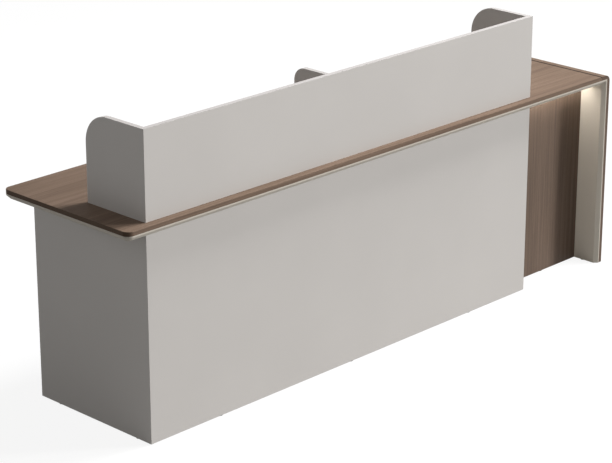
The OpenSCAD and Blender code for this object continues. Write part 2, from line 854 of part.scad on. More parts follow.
module outer_section() c_section(0, runner_w - 2 * runner_step, runner_half, true);
module middle_section()
    c_section(runner_step, runner_w - runner_step - runner_play, runner_half - runner_step, true);
module inner_section()
    c_section(2 * runner_step + runner_play, runner_w, runner_half - 2 * runner_step, false);

// Places a member of drawer n's pair of runners on both sides of the tray
module runner_pair(n) {
    z = front_zs[n] + runner_mid_up;
    for (s = [-1, 1]) translate([screen_mid_x - s * (tray_w / 2 + runner_w), carcass_y, z])
        mirror([s < 0 ? 1 : 0, 0, 0]) rotate([90, 0, 0]) linear_extrude(runner_l) children();
}

module runner_outer_members() color(steel) for (n = [0, 1, 2]) runner_pair(n) outer_section();
module drawer_middle_runners(n) color(steel) runner_pair(n) middle_section();
module drawer_inner_runners(n) color(steel) runner_pair(n) inner_section();

module drawer_1_front() color(pale) difference() {
    drawer_front(0);
    translate([lock_x, front_y - over, lock_z]) rotate([-90, 0, 0])
        cylinder(r = lock_dia / 2 + fit, h = board_t + 2 * over);
}
module drawer_2_front() color(pale) drawer_front(1);
module drawer_3_front() color(pale) drawer_front(2);
module drawer_1_tray() color(steel) drawer_tray(0);
module drawer_2_tray() color(steel) drawer_tray(1);
module drawer_3_tray() color(steel) drawer_tray(2);
module drawer_1_handle() color(steel) drawer_handle(0);
module drawer_2_handle() color(steel) drawer_handle(1);
module drawer_3_handle() color(steel) drawer_handle(2);
module drawer_1_middle_runners() drawer_middle_runners(0);
module drawer_2_middle_runners() drawer_middle_runners(1);
module drawer_3_middle_runners() drawer_middle_runners(2);
module drawer_1_inner_runners() drawer_inner_runners(0);
module drawer_2_inner_runners() drawer_inner_runners(1);
module drawer_3_inner_runners() drawer_inner_runners(2);

// Lock of the top drawer, with its axis along Y

module on_lock_axis(y) translate([lock_x, y, lock_z]) rotate([-90, 0, 0]) children();

module lock_housing() color(steel) difference() {
    union() {
        on_lock_axis(front_y - housing_back) cylinder(r = lock_dia / 2, h = board_t + housing_back);
        on_lock_axis(body_y1) cylinder(r = lock_dia / 2 + bezel_w, h = bezel_t);
    }
    on_lock_axis(front_y - housing_back - over)
        cylinder(r = plug_dia / 2 + fit, h = board_t + housing_back + bezel_t + 2 * over);
}

module lock_plug() color(steel) difference() {
    union() {
        on_lock_axis(tongue_y1 + clear) cylinder(r = plug_dia / 2, h = plug_y1 - tongue_y1 - clear);
        on_lock_axis(tongue_y0) cylinder(r = stub_r, h = tongue_t + 2 * clear);
    }
    on_lock_axis(plug_y1) cube([keyway_w, keyway_h, 2 * keyway_deep], center = true);
}

module lock_tongue() color(steel) difference() {
    on_lock_axis(tongue_y0) linear_extrude(tongue_t) {
        circle(stub_r + tongue_hub_w);
        translate([0, -tongue_w / 2]) square([tongue_l, tongue_w]);
    }
    on_lock_axis(tongue_y0 - over) cylinder(r = stub_r + fit, h = tongue_t + 2 * over);
}

// Cabinet behind the recess panel

// Two rows of holes in each side, which take the shelf pins
shelf_z = floor_board_z + shelf_up;
pin_ys = [cab_y0 + pin_edge, carcass_y - pin_edge];
pin_zs = [for (i = [-pin_rows : pin_rows]) shelf_z - pin_r + i * pin_pitch];

module pin_holes(x) {
    for (y = pin_ys, z = pin_zs) translate([x, y, z]) rotate([0, 90, 0])
        cylinder(r = pin_r + fit, h = 2 * pin_bore, center = true);
}

module cabinet_left_side() color(pale) difference() {
    slab([cab_x0, cab_y0, floor_gap], [cab_x0 + board_t, carcass_y, z_under]);
    foot_holes(cab_left_feet);
    bracket_pilots(cab_left_brackets);
    bolt_holes(cab_left_side_cams);
    cam_holes(recess_left_cams);
    pin_holes(cab_x0 + board_t);
}

module cabinet_right_side() color(pale) difference() {
    slab([cab_x1 - board_t, cab_y0, floor_gap], [cab_x1, carcass_y, z_under]);
    foot_holes(cab_right_feet);
    bracket_pilots(cab_right_brackets);
    bolt_holes(cab_right_side_cams);
    cam_holes(recess_right_cams);
    pin_holes(cab_x1 - board_t);
}

module cabinet_bottom() color(pale) difference() {
    slab([cab_x0 + board_t, cab_y0, plinth_h], [cab_x1 - board_t, carcass_y, floor_board_z]);
    cam_holes(cab_left_side_cams);
    cam_holes(cab_right_side_cams);
}

module cabinet_kick_board() color(dark) slab(
    [cab_x0 + board_t, plinth_y - board_t, floor_gap],
    [cab_x1 - board_t, plinth_y, plinth_h]
);

shelf_play = 0.8;
shelf_back = 20;

module cabinet_shelf() color(pale) slab(
    [cab_x0 + board_t + shelf_play, cab_y0 + shelf_play, shelf_z],
    [cab_x1 - board_t - shelf_play, carcass_y - shelf_back, shelf_z + board_t]
);

// Each pin has a stem in the side board and a head that the shelf lies on
module shelf_pins() color(steel) {
    for (s = [-1, 1], y = pin_ys)
        translate([s > 0 ? cab_x0 + board_t : cab_x1 - board_t, y, shelf_z - pin_r]) difference() {
            rotate([0, s * 90, 0]) {
                translate([0, 0, fit - pin_bore]) cylinder(r = pin_r, h = pin_bore);
                cylinder(r = pin_head_r, h = pin_head_l);
            }
            translate([-pin_head_l - over, -pin_head_r - over, pin_r])
                cube([2 * (pin_head_l + over), 2 * (pin_head_r + over), pin_head_r]);
        }
}

module cabinet_door() color(pale)
    slab([door_x0, front_y, plinth_h], [door_x1, body_y1, fronts_top]);

handle_from_edge = 45;

module cabinet_door_handle() color(steel)
    translate([door_x1 - handle_from_edge, body_y1, fronts_top - handle_down - handle_span / 2])
        rotate([0, 90, 0]) bow_handle();

// Butt hinges, three knuckles each: the outer two and the pin belong to the frame's leaf
knuckle_gap = 0.3;
knuckle_l = (hinge_leaf_h - 2 * knuckle_gap) / 3;

module hinge_leaf(z, y0, y1) slab([hinge_x, y0, z], [cab_x0 + hinge_leaf_w, y1, z + hinge_leaf_h]);

module hinge_knuckle(z, h, bore) translate([hinge_x, hinge_y, z]) difference() {
    cylinder(r = hinge_knuckle_r, h = h);
    translate([0, 0, -over]) cylinder(r = bore, h = h + 2 * over);
}

module hinge_frame_leaves() color(steel) for (zm = hinge_zs) {
    z = zm - hinge_leaf_h / 2;
    difference() {
        hinge_leaf(z, carcass_y, carcass_y + hinge_leaf_t);
        translate([hinge_x, hinge_y, z + knuckle_l])
            cylinder(r = hinge_knuckle_r + clear, h = knuckle_l + 2 * knuckle_gap);
        translate([hinge_x, hinge_y, z - over]) cylinder(r = hinge_pin_r, h = hinge_leaf_h + 2 * over);
    }
    for (dz = [0, 2 * (knuckle_l + knuckle_gap)]) hinge_knuckle(z + dz, knuckle_l, hinge_pin_r);
    translate([hinge_x, hinge_y, z]) cylinder(r = hinge_pin_r, h = hinge_leaf_h);
}

module hinge_door_leaves() color(steel) for (zm = hinge_zs) {
    z = zm - hinge_leaf_h / 2;
    difference() {
        hinge_leaf(z, front_y - hinge_leaf_t, front_y);
        for (dz = [-over, 2 * knuckle_l + knuckle_gap]) translate([hinge_x, hinge_y, z + dz])
            cylinder(r = hinge_knuckle_r + clear, h = knuckle_l + knuckle_gap + over);
        translate([hinge_x, hinge_y, z - over])
            cylinder(r = hinge_pin_r + fit, h = hinge_leaf_h + 2 * over);
    }
    hinge_knuckle(z + knuckle_l + knuckle_gap, knuckle_l, hinge_pin_r + fit);
}

// Cable trays, each a J section with slots in its floor
module cable_tray(x0, x1) {
    z0 = z_under - cable_tray_h;
    y1 = cable_y0 + cable_tray_w;
    difference() {
        along_x(x0, x1) polygon([
            [cable_y0 - cable_flange_w, z_under],
            [cable_y0 + cable_tray_t, z_under],
            [cable_y0 + cable_tray_t, z0 + cable_tray_t],
            [y1 - cable_tray_t, z0 + cable_tray_t],
            [y1 - cable_tray_t, z0 + cable_lip_h],
            [y1 + cable_hem, z0 + cable_lip_h],
            [y1 + cable_hem, z0 + cable_lip_h - cable_tray_t],
            [y1, z0 + cable_lip_h - cable_tray_t],
            [y1, z0],
            [cable_y0, z0],
            [cable_y0, z_under - cable_tray_t],
            [cable_y0 - cable_flange_w, z_under - cable_tray_t]
        ]);
        for (s = [-1, 0, 1])
            translate([(x0 + x1) / 2 + s * (x1 - x0) / 3, cable_y0 + cable_tray_w / 2, z0])
                linear_extrude(4 * cable_tray_t, center = true) slot_shape(cable_slot_l, cable_slot_w);
        at_tray_screws() translate([0, 0, -cable_tray_t - over])
            cylinder(r = screw_r + fit, h = cable_tray_t + 2 * over);
    }
}

module cable_trays() color(steel) for (bay = cable_bays) cable_tray(bay[0], bay[1]);

// Grommets: a flanged sleeve, and a cap with a cord notch that turns on the sleeve's ledge
sleeve_in_r = grommet_r - clear - sleeve_wall;
sleeve_z0 = z_under + arris;
cap_z0 = worktop_h + sleeve_flange_t - cap_t;

module grommet_sleeves() color(dark) for (x = seat_xs) translate([x, grommet_y, 0])
    rotate_extrude($fn = 96) polygon([
        [sleeve_in_r - cap_ledge, sleeve_z0],
        [grommet_r - clear, sleeve_z0],
        [grommet_r - clear, worktop_h],
        [grommet_r + sleeve_flange_w, worktop_h],
        [grommet_r + sleeve_flange_w - arris, worktop_h + sleeve_flange_t],
        [sleeve_in_r, worktop_h + sleeve_flange_t],
        [sleeve_in_r, cap_z0],
        [sleeve_in_r - cap_ledge, cap_z0]
    ]);

module grommet_cap(x) color(dark) translate([x, grommet_y, cap_z0]) difference() {
    cylinder(r = sleeve_in_r - clear, h = cap_t, $fn = 96);
    translate([0, 0, -over]) linear_extrude(cap_t + 2 * over) {
        translate([-cap_notch_w / 2, cap_notch_d]) square([cap_notch_w, grommet_r]);
        translate([0, cap_notch_d]) circle(cap_notch_w / 2);
    }
}

module grommet_cap_left() grommet_cap(seat_xs[0]);
module grommet_cap_right() grommet_cap(seat_xs[1]);

front_panel();
left_end_panel();
recess_return();
recess_panel();
worktop_board();
worktop_underlayer();
waterfall_panel();
waterfall_lining();
screen_front();
screen_left_return();
screen_divider();
screen_right_return();
led_channel();
led_diffuser();
led_strip();
led_driver();
led_lead();
pedestal_left_side();
pedestal_right_side();
pedestal_top();
pedestal_bottom();
pedestal_kick_board();
cabinet_left_side();
cabinet_right_side();
cabinet_bottom();
cabinet_kick_board();
cabinet_shelf();
shelf_pins();
cable_trays();
grommet_sleeves();
grommet_cap_left();
grommet_cap_right();
levelling_feet();
angle_brackets();
bracket_screws();
cam_locks();
cam_bolts();
runner_outer_members();
drawer_1_front();
drawer_1_tray();
drawer_1_handle();
drawer_1_inner_runners();
drawer_1_middle_runners();
drawer_2_front();
drawer_2_tray();
drawer_2_handle();
drawer_2_inner_runners();
drawer_2_middle_runners();
drawer_3_front();
drawer_3_tray();
drawer_3_handle();
drawer_3_inner_runners();
drawer_3_middle_runners();
lock_housing();
lock_plug();
lock_tongue();
cabinet_door();
cabinet_door_handle();
hinge_frame_leaves();
hinge_door_leaves();
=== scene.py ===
"""The reception desk's looks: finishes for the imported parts, small fittings, studio and camera.

Everything is in metres in the desk's own frame: +X runs along the desk towards the waterfall end,
the visitor stands at -Y, the staff sit at +Y, and Z is 0 at the floor.
"""
import math

import bmesh
import bpy
from mathutils import Matrix, Vector


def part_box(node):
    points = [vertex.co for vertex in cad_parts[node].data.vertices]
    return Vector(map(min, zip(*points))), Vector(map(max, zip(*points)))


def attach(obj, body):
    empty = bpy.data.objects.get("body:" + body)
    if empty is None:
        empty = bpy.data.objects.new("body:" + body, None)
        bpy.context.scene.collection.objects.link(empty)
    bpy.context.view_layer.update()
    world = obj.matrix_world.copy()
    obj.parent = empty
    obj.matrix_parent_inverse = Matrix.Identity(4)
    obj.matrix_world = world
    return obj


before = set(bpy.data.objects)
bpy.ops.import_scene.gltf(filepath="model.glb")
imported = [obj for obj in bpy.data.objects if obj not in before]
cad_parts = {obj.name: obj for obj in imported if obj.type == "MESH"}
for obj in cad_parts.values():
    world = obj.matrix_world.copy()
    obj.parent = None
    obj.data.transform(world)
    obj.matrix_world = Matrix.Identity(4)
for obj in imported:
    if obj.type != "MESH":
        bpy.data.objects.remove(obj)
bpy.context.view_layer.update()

MM = 0.001
QUARTER_TURN = (0.0, math.radians(90), 0.0)

# Where the photograph was taken from, in metres and degrees, and the lens in millimetres
CAMERA_AT = (-5.388, -5.127, 3.093)
CAMERA_TURN = 45.78
CAMERA_DOWN = 20.15
CAMERA_LENS = 132.3
CAMERA_SENSOR = 36.0

# Lamps: turn from the front towards the waterfall end, height above the floor, both in degrees,
# then strength and the lamp's apparent width in degrees
LOW_LAMP = (54.0, 14.0, 1.07, 10.0)
HIGH_LAMP = (69.0, 62.0, 1.18, 16.0)
BACK_LAMP = (190.0, 2.2, 0.78, 28.0)

# The high lamp hangs this far from the point that it is aimed at
HIGH_LAMP_AWAY = 6.0
HIGH_LAMP_AIM = (-0.4, 0.0, 0.75)

# The sky's light, and the grey that the floor bounces back to the desk
SKY_COLOUR = (1.0, 0.99, 0.97, 1.0)
SKY_LEVEL = 0.20
FLOOR_GREY = 0.32
FLOOR_HALF = 45.0

# The floor as the camera sees it: a white glow, with a share of lit grey that holds the shadow
FLOOR_GLOW = 1.05
FLOOR_PALE = 0.80
FLOOR_PALE_SHARE = 0.16

# The light strip under the worktop, whose diodes end short of the channel's ends
STRIP_COLOUR = "#fff8ee"
STRIP_LEVEL = 44.0
STRIP_DARK_END = 24 * MM
STRIP_FADE = 6 * MM
STRIP_UNLIT = 0.02
DIODE_PITCH = 16 * MM
DIODE_BEAT = 0.06

# The strip is dimmer towards the body: its share of the light there, the X up to which it is so
# dim, and the X from which it is full
STRIP_DIM = 0.62
STRIP_DIM_TO = 1.02
STRIP_FULL_FROM = 1.13

# Colours of the boards and the walnut in full light, and deeper tones of them that paint shade
PALE = "#b8b4b0"
# Painted shade: a deeper tone of PALE that the screen's upward faces take
PALE_TOP_SHADE = "#ada9a7"
LINING = "#d2cbbf"
# Painted shade: a deeper tone of LINING for the worktop's underlayer and the leg's front lip
LINING_SHADED = "#b8b1a6"
KICK = "#34343a"
WALNUT_DARK = "#5e4d43"
WALNUT_MID = "#6f5d4f"
WALNUT_LIGHT = "#7f6b5e"
# Painted shade for the joint line across the worktop
WALNUT_GROOVE_SHADE = "#1c1511"
# The end grain's dark tone, deepened further as painted shade
WALNUT_END_AND_SHADE = "#4b3c30"

# Colours of the fittings
STEEL = "#a4a6a8"
ZINC = "#b9babb"
NICKEL = "#b7b3ad"
PLASTIC = "#232426"
ALUMINIUM = "#c4c6c8"
OPAL = "#f3efe6"
DRIVER = "#d9d9d6"
BUFFER = "#b9bab8"

# Roughness and specular level of the boards and the walnut
PALE_SKIN = (0.58, 0.26)
LINING_SKIN = (0.70, 0.08)
KICK_SKIN = (0.42, 0.40)
TOP_SKIN = (0.62, 0.10)
UPRIGHT_SKIN = (0.42, 0.15)

# A board's patterns, in repeats per metre, and the share of the clouds in its tone
BOARD_CLOUDS = 3.0
BOARD_FLECK = 900.0
BOARD_PATCHES = 40.0
BOARD_TEXTURE = 1400.0
CLOUD_SHARE = 0.6

# The walnut's figure, coarse to fine. Each layer has its repeats per metre along and across the
# grain, then its detail, roughness, distortion and share of the tone
FIGURE = (
    (1.1, 9.0, 2.0, 0.50, 0.40, 0.22),
    (1.4, 78.0, 4.0, 0.62, 0.25, 0.32),
    (2.2, 210.0, 3.0, 0.60, 0.15, 0.28),
    (9.0, 620.0, 3.0, 0.60, 0.00, 0.18))

# The tones that the figure runs through
WALNUT_TONES = ((0.38, WALNUT_DARK), (0.50, WALNUT_MID), (0.62, WALNUT_LIGHT))

# The walnut's pores: repeats per metre along and across the grain, the levels of the pattern that
# they lie between, their share of the colour and of the relief, and the relief's depth
PORE_STRETCH = (38.0, 2100.0, 2100.0)
PORE_FROM = 0.30
PORE_TO = 0.42
PORE_SHARE = 0.35
PORE_RELIEF = 0.7
PORE_DEEP = 0.10 * MM

# Dots of the walnut's end grain, in repeats per metre
END_DOTS = 1500.0

# Painted shade: the recess panel's veneer is deeper than the worktop's, for the shade in the
# recess, and so are the waterfall's faces that look at the visitor
UPRIGHT_SHADE = 0.81
FORWARD_SHADE_DEPTH = 0.74
FORWARD_SHADE_SHARE = 0.7

# A face looks at the visitor where its normal's Y is below this
LOOKS_FORWARD = -0.7

# The joint line across the worktop, painted shade: half its width, its depth, and how far it fades
GROOVE_HALF = 2.2 * MM
GROOVE_DEEP = 2.2 * MM
GROOVE_FADE = 3.5 * MM

# How far the painted shade on the leg's front lip reaches back from the very front
LIP_DEEP = 0.5 * MM

# Sheet steel shows its spangles by this share, and up to twice that on its rolling marks
SPANGLE_SHARE = 0.10

# Rolling marks on sheet steel, and brush lines on the handles, the lock and the light's channel:
# repeats per metre along X, Y and Z. They run along the axis with the lowest number
ROLLING_MARKS = (4.0, 300.0, 300.0)
HANDLE_LINES = (30.0, 900.0, 900.0)
UPRIGHT_LINES = (900.0, 900.0, 30.0)
LOCK_LINES = (700.0, 60.0, 700.0)
CHANNEL_LINES = (20.0, 800.0, 800.0)

# The eroded skin and the faint clouds of moulded plastic, and the clouds of the light's cover, in
# repeats per metre
PLASTIC_SKIN = 2600.0
PLASTIC_CLOUDS = 30.0
OPAL_CLOUDS = 700.0

# The parts that the small fittings hold: thickness of a tray's sheet, a hinge's leaf and the
# driver's ear, radius of a handle's foot, and half the height of a leaf
SHEET = 1.2 * MM
LEAF = 0.9 * MM
EAR = 3 * MM
ROSE = 7 * MM
HINGE_HALF = 25 * MM

# Places of the fittings: in or up from the part's edges, and for a hinge's screws also up and down
# from the middle of its leaf. The flush screws are sunk into the leaves
TRAY_SCREW_IN = 20 * MM
TRAY_SCREW_UP = 14 * MM
PAD_IN = 20 * MM
HINGE_SCREW_IN = 8 * MM
HINGE_SCREW_OUT = 15 * MM
EAR_HOLE_IN = 6 * MM
FLUSH_SUNK = 0.25 * MM

# Screw heads: radius, height and rounding
ROUND_HEAD = (3.6 * MM, 2.0 * MM, 0.9 * MM)
FLUSH_HEAD = (3.2 * MM, FLUSH_SUNK + 0.05 * MM, 0.04 * MM)

# A screw head starts as a square grid whose rim is pushed out to the radius: its faces a side, and
# half its width as a share of the radius
HEAD_GRID = 7
HEAD_GRID_HALF = 0.84

# Its cross recess: the arms' reach and the rim's start as shares of the radius, the depth as a
# share of the height, and how near an axis, as a share of the reach, the faces of an arm lie
RECESS_REACH = 0.61
RIM_FROM = 0.9
RECESS_DEEP = 0.6
ARM_HALF = 0.1

# A buffer's radius and height, then its sides, taper and rounding
BUFFER_SIZE = (4.5 * MM, 1.8 * MM)
BUFFER_SIDES = 24
BUFFER_TAPER = 0.9
BUFFER_ROUND = 0.45

# What lies above this share of a fitting's height belongs to its top, and has this many bevel steps
TOP_FROM = 0.9
BEVEL_STEPS = 3

# Points nearer than this are one
SAME_POINT = 0.0001 * MM

# The Mix node's sockets for colours and for vectors: both inputs, then the output
MIX_SOCKETS = {"RGBA": (6, 7, 2), "VECTOR": (4, 5, 1)}


def linear(code, lift=1.0):
    """A colour written as #rrggbb, as the linear RGBA that a shader takes, times a lift."""
    parts = [int(code[i:i + 2], 16) / 255 for i in (1, 3, 5)]
    straight = [p / 12.92 if p <= 0.04045 else ((p + 0.055) / 1.055) ** 2.4 for p in parts]
    return (*[min(1.0, lift * s) for s in straight], 1.0)


def grey(level):
    return (level, level, level, 1.0)


class Wire:
    """What a node gives out. Sums written on a number add Math nodes."""

    def __init__(self, network, socket):
        self.network = network
        self.socket = socket

    def maths(self, operation, *terms, clamp=False):
        settings = {"operation": operation, "use_clamp": clamp}
        return self.network.add("ShaderNodeMath", settings, dict(enumerate(terms)))

    def __add__(self, other):
        return self.maths("ADD", self, other)

    def __radd__(self, other):
        return self.maths("ADD", other, self)

    def __sub__(self, other):
        return self.maths("SUBTRACT", self, other)

    def __rsub__(self, other):
        return self.maths("SUBTRACT", other, self)

    def __mul__(self, other):
        return self.maths("MULTIPLY", self, other)

    def __rmul__(self, other):
        return self.maths("MULTIPLY", other, self)

    def clamped(self):
        return self.maths("ADD", self, 0.0, clamp=True)

    def above(self, level):
        return self.maths("GREATER_THAN", self, level)

    def below(self, level):
        return self.maths("LESS_THAN", self, level)

    def larger(self, other):
        return self.maths("MAXIMUM", self, other)

    def size(self):
        return self.maths("ABSOLUTE", self)

    def sine(self):
        return self.maths("SINE", self)


class Network:
    """The nodes of a material or of the sky."""

    def __init__(self, owner):
        owner.use_nodes = True
        self.nodes = owner.node_tree.nodes
        self.links = owner.node_tree.links
        self.nodes.clear()

    def add(self, kind, settings, inputs, output=0):
        """Adds a node and gives back one of its outputs.

        Its settings are made first, then each input gets its value or its link.
        """
        node = self.nodes.new(kind)
        for key, value in settings.items():
            if key == "stops":
                self.set_stops(node.color_ramp.elements, value)
            else:
                setattr(node, key, value)
        for key, value in inputs.items():
            if isinstance(value, Wire):
                self.links.new(value.socket, node.inputs[key])
            else:
                node.inputs[key].default_value = value
        return Wire(self, node.outputs[output]) if node.outputs else None

    def set_stops(self, elements, stops):
        while len(elements) < len(stops):
            elements.new(0.5)
        for element, (place, colour) in zip(elements, stops):
            element.position = place
            element.color = colour


class Finish(Network):
    """One material of the desk: a Principled shader with the nodes that vary it."""

    def __init__(self, name, roughness, metallic=0.0, specular=0.5):
        self.material = bpy.data.materials.new(name)
        super().__init__(self.material)
        surface = self.add(
            "ShaderNodeBsdfPrincipled", {},
            {"Roughness": roughness, "Metallic": metallic, "Specular IOR Level": specular})
        self.shader = surface.socket.node
        self.add("ShaderNodeOutputMaterial", {}, {"Surface": surface})

    def feed(self, name, wire):
        self.links.new(wire.socket, self.shader.inputs[name])

    def point(self):
        """The point on the object, in metres."""
        return self.add("ShaderNodeTexCoord", {}, {}, "Object")

    def facing(self):
        """The surface's normal on the object."""
        return self.add("ShaderNodeTexCoord", {}, {}, "Normal")

    def place(self, stretch=(1, 1, 1), start=None):
        """The point on the object, stretched for a pattern."""
        return self.add(
            "ShaderNodeMapping", {}, {"Vector": start or self.point(), "Scale": stretch})

    def upended(self, point, shift=(0.0, 0.0, 0.0)):
        """A point turned so that what runs along X stands upright, then shifted."""
        return self.add(
            "ShaderNodeMapping", {},
            {"Vector": point, "Rotation": QUARTER_TURN, "Location": shift})

    def along(self, vector, axis):
        """A vector's X, Y or Z."""
        return self.add("ShaderNodeSeparateXYZ", {}, {"Vector": vector}, axis)

    def noise(self, place, scale=1.0, detail=2.0, rough=0.5, distortion=0.0):
        return self.add(
            "ShaderNodeTexNoise", {},
            {"Vector": place, "Scale": scale, "Detail": detail, "Roughness": rough,
             "Distortion": distortion})

    def ramp(self, wire, *stops):
        return self.add("ShaderNodeValToRGB", {"stops": stops}, {"Fac": wire})

    def mottled(self, pattern, colour, dark, light, spread=0.20):
        """A colour that turns from a darker to a lighter tone round the pattern's middle."""
        return self.ramp(
            pattern, (0.5 - spread, linear(colour, dark)), (0.5 + spread, linear(colour, light)))

    def blend(self, share, first, second, mode="MIX", kind="RGBA"):
        """The first colour or vector with a share of the second."""
        one, other, output = MIX_SOCKETS[kind]
        return self.add(
            "ShaderNodeMix", {"data_type": kind, "blend_type": mode},
            {0: share, one: first, other: second}, output)

    def uneven(self, least, swing, pattern):
        """Gives the surface a roughness that starts at least and rises with a pattern."""
        self.feed("Roughness", least + swing * pattern)

    def relief(self, height, distance, strength):
        """Gives the surface a fine relief, which is bump alone."""
        bump = self.add(
            "ShaderNodeBump", {},
            {"Height": height, "Distance": distance, "Strength": strength})
        self.feed("Normal", bump)


# Finishes

def board_tone(f, colour):
    """A board's pearl grain and faint clouds."""
    clouds = f.noise(f.place(), BOARD_CLOUDS)
    fleck = f.noise(f.place(), BOARD_FLECK, detail=3.0, rough=0.6)
    tone = (clouds * CLOUD_SHARE + fleck * (1 - CLOUD_SHARE)).clamped()
    return f.mottled(tone, colour, dark=0.97, light=1.03)


def board_skin(f, roughness):
    """A board's fine texture and slightly uneven gloss."""
    patches = f.noise(f.place(), BOARD_PATCHES, detail=3.0)
    f.uneven(least=roughness - 0.06, swing=0.12, pattern=patches)
    f.relief(f.noise(f.place(), BOARD_TEXTURE, rough=0.7), distance=0.05 * MM, strength=0.35)


def board_finish(name, colour, roughness, specular):
    """Matt melamine-faced board."""
    f = Finish(name, roughness, specular=specular)
    f.feed("Base Color", board_tone(f, colour))
    board_skin(f, roughness)
    return f.material


def screen_finish():
    """The screen's board. Its faces that look up are painted a shade deeper, as painted shade
    against the light from above.
    """
    roughness, specular = PALE_SKIN
    f = Finish("screen_board", roughness, specular=specular)
    # Painted shade: the more a face looks up, the more it takes the deeper tone
    upward = f.along(f.facing(), "Z").clamped()
    f.feed("Base Color", f.blend(upward, board_tone(f, PALE), board_tone(f, PALE_TOP_SHADE)))
    board_skin(f, roughness)
    return f.material


def leg_lining_finish():
    """The leg's pale lining. Its front lip takes the deeper tone of the layer above, as painted
    shade.
    """
    roughness, specular = LINING_SKIN
    f = Finish("leg_lining", roughness, specular=specular)
    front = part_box("waterfall_lining")[0].y
    on_lip = f.along(f.place(), "Y").below(front + LIP_DEEP)
    f.feed("Base Color", f.blend(on_lip, board_tone(f, LINING), board_tone(f, LINING_SHADED)))
    board_skin(f, roughness)
    return f.material


def walnut_grain(f, start, roughness, depth=1.0):
    """Gives walnut veneer its gloss and pores, and returns its colour.

    The grain runs along the first axis of start. A depth below 1 gives a darker veneer, which
    paints shade.
    """
    tone = 0.0
    for length, width, detail, rough, distortion, share in FIGURE:
        stretched = f.place((length, width, width), start)
        layer = f.noise(stretched, detail=detail, rough=rough, distortion=distortion)
        tone = tone + share * layer
    finest = layer
    colour = f.ramp(
        tone.clamped(), *[(place, linear(code, depth)) for place, code in WALNUT_TONES])
    pores = f.ramp(
        f.noise(f.place(PORE_STRETCH, start), rough=0.7),
        (PORE_FROM, grey(0.0)), (PORE_TO, grey(1.0)))
    f.uneven(least=roughness, swing=0.16, pattern=finest)
    f.relief(PORE_RELIEF * pores + (1 - PORE_RELIEF) * finest, PORE_DEEP, strength=0.45)
    return f.blend(PORE_SHARE, colour, pores, "MULTIPLY")


def with_groove_shade(f, colour):
    """The walnut's colour with the joint line painted in as shade, which fades beside it."""
    low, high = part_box("waterfall_panel")
    away = (f.along(f.place(), "X") - low.x).size() - GROOVE_HALF
    near = (1.0 - away * (1 / GROOVE_FADE)).clamped()
    share = near * f.along(f.place(), "Z").above(high.z - GROOVE_DEEP)
    return f.blend(share, colour, linear(WALNUT_GROOVE_SHADE))


def with_end_grain_and_shade(f, colour):
    """The walnut's colour with the dotted end grain on faces that look along the desk; its darkness
    is partly the end grain's own and partly painted shade.
    """
    dots = f.mottled(
        f.noise(f.place(), END_DOTS, detail=3.0, rough=0.6),
        WALNUT_END_AND_SHADE, dark=0.8, light=1.2, spread=0.15)
    return f.blend(f.along(f.facing(), "X").size(), colour, dots)


def with_forward_shade(f, colour):
    """The walnut's colour deepened on faces that look at the visitor, as painted shade."""
    # Painted shade: faces whose normal looks forward take a deeper walnut
    forward = f.along(f.facing(), "Y").below(LOOKS_FORWARD)
    return f.blend(FORWARD_SHADE_SHARE * forward, colour, linear(WALNUT_DARK, FORWARD_SHADE_DEPTH))


def worktop_finish():
    """Walnut veneer whose grain runs along the desk."""
    roughness, specular = TOP_SKIN
    f = Finish("walnut_along", roughness, specular=specular)
    colour = walnut_grain(f, f.place(), roughness)
    f.feed("Base Color", with_end_grain_and_shade(f, with_groove_shade(f, colour)))
    return f.material


def upright_finish():
    """Walnut veneer whose grain stands upright, on the recess panel, deepened as painted shade for
    the recess.
    """
    roughness, specular = UPRIGHT_SKIN
    f = Finish("walnut_upright", roughness, specular=specular)
    grain = f.upended(f.point())
    f.feed("Base Color", walnut_grain(f, grain, roughness, UPRIGHT_SHADE))
    return f.material


def waterfall_finish():
    """Walnut whose grain runs over the edge and down: it turns at the corner's 45 degree line."""
    roughness, specular = TOP_SKIN
    f = Finish("walnut_waterfall", roughness, specular=specular)
    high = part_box("waterfall_panel")[1]
    point = f.point()
    down = f.upended(point, (high.x + high.z, 0.0, high.z + high.x))
    on_top = (f.along(point, "Z") - f.along(point, "X")).above(high.z - high.x)
    grain = f.blend(on_top, down, point, kind="VECTOR")
    colour = walnut_grain(f, grain, roughness)
    f.feed("Base Color", with_forward_shade(f, with_groove_shade(f, colour)))
    return f.material


def steel_finish(name, colour, roughness, spangle):
    """Coated sheet steel: a soft sheen broken up by fine spangles and rolling marks."""
    f = Finish(name, roughness, metallic=0.85)
    cells = f.add(
        "ShaderNodeTexVoronoi", {"feature": "F1"},
        {"Vector": f.place(), "Scale": spangle, "Randomness": 1.0}, "Color")
    marks = f.noise(f.place(ROLLING_MARKS), detail=3.0)
    share = SPANGLE_SHARE + SPANGLE_SHARE * marks
    f.feed("Base Color", f.blend(share, linear(colour), cells, "SOFT_LIGHT"))
    f.uneven(least=roughness - 0.05, swing=0.14, pattern=marks)
    f.relief(marks, distance=0.02 * MM, strength=0.3)
    return f.material


def brushed_finish(name, colour, roughness, stretch):
    """Satin metal with brush lines; stretch says how fine they are along X, Y and Z."""
    f = Finish(name, roughness, metallic=1.0)
    lines = f.noise(f.place(stretch), detail=4.0, rough=0.65)
    f.feed("Base Color", f.mottled(lines, colour, dark=0.86, light=1.10, spread=0.25))
    f.uneven(least=roughness - 0.06, swing=0.14, pattern=lines)
    f.relief(lines, distance=0.02 * MM, strength=0.35)
    return f.material


def moulded_finish(name, colour, roughness):
    """Moulded plastic with a spark-eroded skin."""
    f = Finish(name, roughness, specular=0.45)
    skin = f.noise(f.place(), PLASTIC_SKIN, rough=0.6)
    clouds = f.noise(f.place(), PLASTIC_CLOUDS)
    f.feed("Base Color", f.mottled(clouds, colour, dark=0.93, light=1.07))
    f.uneven(least=roughness - 0.05, swing=0.10, pattern=skin)
    f.relief(skin, distance=0.04 * MM, strength=0.5)
    return f.material


